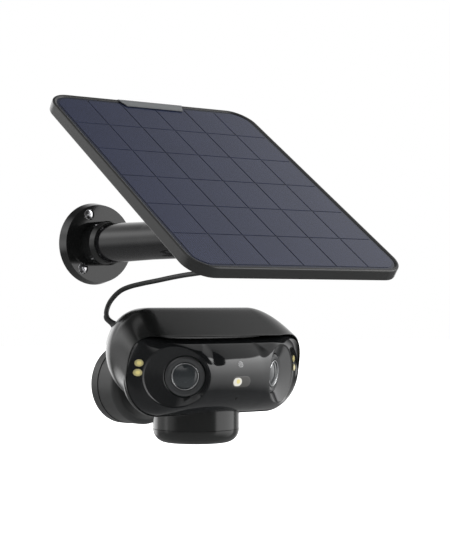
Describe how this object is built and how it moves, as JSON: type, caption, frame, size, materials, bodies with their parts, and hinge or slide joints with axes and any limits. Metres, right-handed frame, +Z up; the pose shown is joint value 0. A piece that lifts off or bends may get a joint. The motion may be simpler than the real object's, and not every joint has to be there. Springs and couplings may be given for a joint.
{
  "type": "solar-powered security camera",
  "caption": "Twin-lens outdoor camera on a ball mount, with a tilting solar panel on its own wall arm and a short charging cable between them.",
  "frame": {"origin": "centre of the back face of the camera's wall plate, on the wall plane", "axes": "+X to the right as seen from in front, +Y into the wall, +Z up; the object stands out from the wall towards -Y"},
  "size_m": [0.1959, 0.2552, 0.2499],
  "materials": {
    "mount_plastic": "fine satin black moulding",
    "hood_plastic": "satin black moulding",
    "face_plastic": "polished black",
    "inner_plastic": "plain moulding",
    "nylon": "natural nylon",
    "lens_glass": "coated glass",
    "bright_ring": "polished",
    "led": "phosphor yellow",
    "window": "clear window",
    "circuit_board": "solder mask green",
    "battery": "shrink sleeve",
    "brass": "plated",
    "steel": "zinc plated",
    "rubber": "soft matte",
    "cable_jacket": "smooth jacket",
    "panel_plastic": "satin black moulding",
    "arm_gloss": "polished black",
    "laminate": "dark backing under clear film",
    "cells": "blue-grey cells under clear film",
    "label": "dark grey plate"
  },
  "bodies": {
    "wall_mounts": {"camera_wall_plate": "mount_plastic", "camera_base_cover": "mount_plastic", "panel_wall_base": "mount_plastic", "wall_screws": "steel", "arm_collar": "mount_plastic", "arm_set_screw": "steel"},
    "ball_seat": {"ball_friction_ring": "nylon"},
    "ball": {"mount_ball": "mount_plastic"},
    "camera": {"mount_stem": "mount_plastic", "stem_screws": "steel", "camera_hood": "hood_plastic", "face_panel": "face_plastic", "lower_housing": "hood_plastic", "bottom_cap": "hood_plastic", "lens_bezel_left": "face_plastic", "lens_bezel_right": "face_plastic", "lens_barrel_left": "inner_plastic", "lens_barrel_right": "inner_plastic", "lens_trim_ring_left": "bright_ring", "lens_trim_ring_right": "bright_ring", "lens_glass_left": "lens_glass", "lens_glass_right": "lens_glass", "image_sensor_boards": "circuit_board", "spotlight_leds_left": "led", "spotlight_leds_right": "led", "center_light_window": "window", "center_light_led": "led", "light_sensor": "window", "microphone_mesh": "rubber", "main_board": "circuit_board", "battery_cells": "battery", "motion_sensor": "nylon", "speaker": "inner_plastic", "antenna_strip": "brass", "charging_port": "inner_plastic", "cable_plug": "rubber"},
    "power_key": {"power_button": "rubber"},
    "card_flap": {"card_slot_flap": "rubber"},
    "arm": {"arm_tube": "arm_gloss", "tilt_fork": "arm_gloss", "tilt_bolt": "steel"},
    "knob": {"tilt_knob": "rubber"},
    "tongue": {"swivel_tongue": "mount_plastic"},
    "panel": {"cable_gland": "rubber", "junction_box": "panel_plastic", "panel_frame": "panel_plastic", "panel_back_cover": "panel_plastic", "panel_laminate": "laminate", "solar_cells": "cells", "panel_label_plate": "label", "panel_swivel_disc": "panel_plastic", "swivel_screws": "steel", "charging_cable": "cable_jacket"}
  },
  "joints": [
    {"name": "camera_pan", "type": "hinge", "parent": "wall_mounts", "child": "ball_seat", "pos_m": [0, -0.032, 0], "axis": [0, 0, 1], "range_deg": [-20, 20], "deforming": ["charging_cable"]},
    {"name": "camera_tilt", "type": "hinge", "parent": "ball_seat", "child": "ball", "pos_m": [0, -0.032, 0], "axis": [1, 0, 0], "range_deg": [-15, 15], "deforming": ["charging_cable"]},
    {"name": "camera_roll", "type": "hinge", "parent": "ball", "child": "camera", "pos_m": [0, -0.032, 0], "axis": [0, 1, 0], "range_deg": [-15, 15], "deforming": ["charging_cable"]},
    {"name": "power_press", "type": "slide", "parent": "camera", "child": "power_key", "axis": [0, 0, 1], "range_m": [0, 0.0006], "stiffness_N_per_m": 800, "springref_m": -0.001},
    {"name": "flap_open", "type": "hinge", "parent": "camera", "child": "card_flap", "pos_m": [0.05055, -0.06476, 0.031], "axis": [0, 0, 1], "range_deg": [0, 45]},
    {"name": "arm_roll", "type": "hinge", "parent": "wall_mounts", "child": "arm", "pos_m": [-0.029, -0.016, 0.108], "axis": [0, 1, 0], "range_deg": [-30, 30], "deforming": ["charging_cable"]},
    {"name": "panel_tilt", "type": "hinge", "parent": "arm", "child": "tongue", "pos_m": [-0.029, -0.138, 0.108], "axis": [1, 0, 0], "range_deg": [-25, 25], "deforming": ["charging_cable"]},
    {"name": "panel_swivel", "type": "hinge", "parent": "tongue", "child": "panel", "pos_m": [-0.029, -0.138, 0.108], "axis": [0, -0.5736, 0.8192], "range_deg": [-45, 45], "deforming": ["charging_cable"]},
    {"name": "knob_turn", "type": "hinge", "parent": "arm", "child": "knob", "pos_m": [-0.011, -0.138, 0.108], "axis": [1, 0, 0], "continuous": true}
  ]
}
